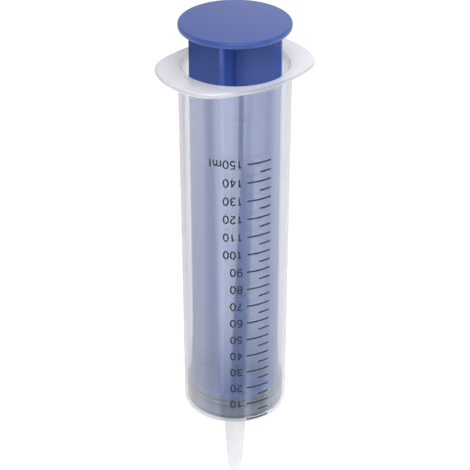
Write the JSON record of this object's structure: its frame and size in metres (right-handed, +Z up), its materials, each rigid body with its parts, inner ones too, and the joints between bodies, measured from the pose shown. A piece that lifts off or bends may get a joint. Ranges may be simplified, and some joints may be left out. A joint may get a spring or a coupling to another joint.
{
  "type": "irrigation syringe",
  "caption": "Large clear hand syringe with a tapered catheter nozzle, oval finger flange, blue cross-ribbed plunger with thumb disc, and rubber lip seal.",
  "frame": {"origin": "centre of the outlet at the nozzle's end, on the barrel's axis, with the plunger pushed home", "axes": "+Z up the barrel's axis from the outlet to the thumb disc, X along the finger flange's long axis"},
  "size_m": [0.061, 0.0466, 0.2103],
  "materials": {
    "clear_barrel": "natural translucent polypropylene, moulded smooth",
    "blue_plunger": "opaque blue polypropylene, satin on the thumb disc",
    "seal_rubber": "black elastomer, lightly siliconed"
  },
  "bodies": {
    "barrel": {"barrel": "clear_barrel"},
    "seal": {"seal": "seal_rubber"},
    "plunger": {"plunger": "blue_plunger"}
  },
  "joints": [
    {"name": "plunger_slide", "type": "slide", "parent": "barrel", "child": "seal", "axis": [0, 0, 1], "range_m": [0, 0.13]},
    {"name": "plunger_turn", "type": "hinge", "parent": "seal", "child": "plunger", "pos_m": [0, 0, 0.0467], "axis": [0, 0, 1], "continuous": true}
  ]
}
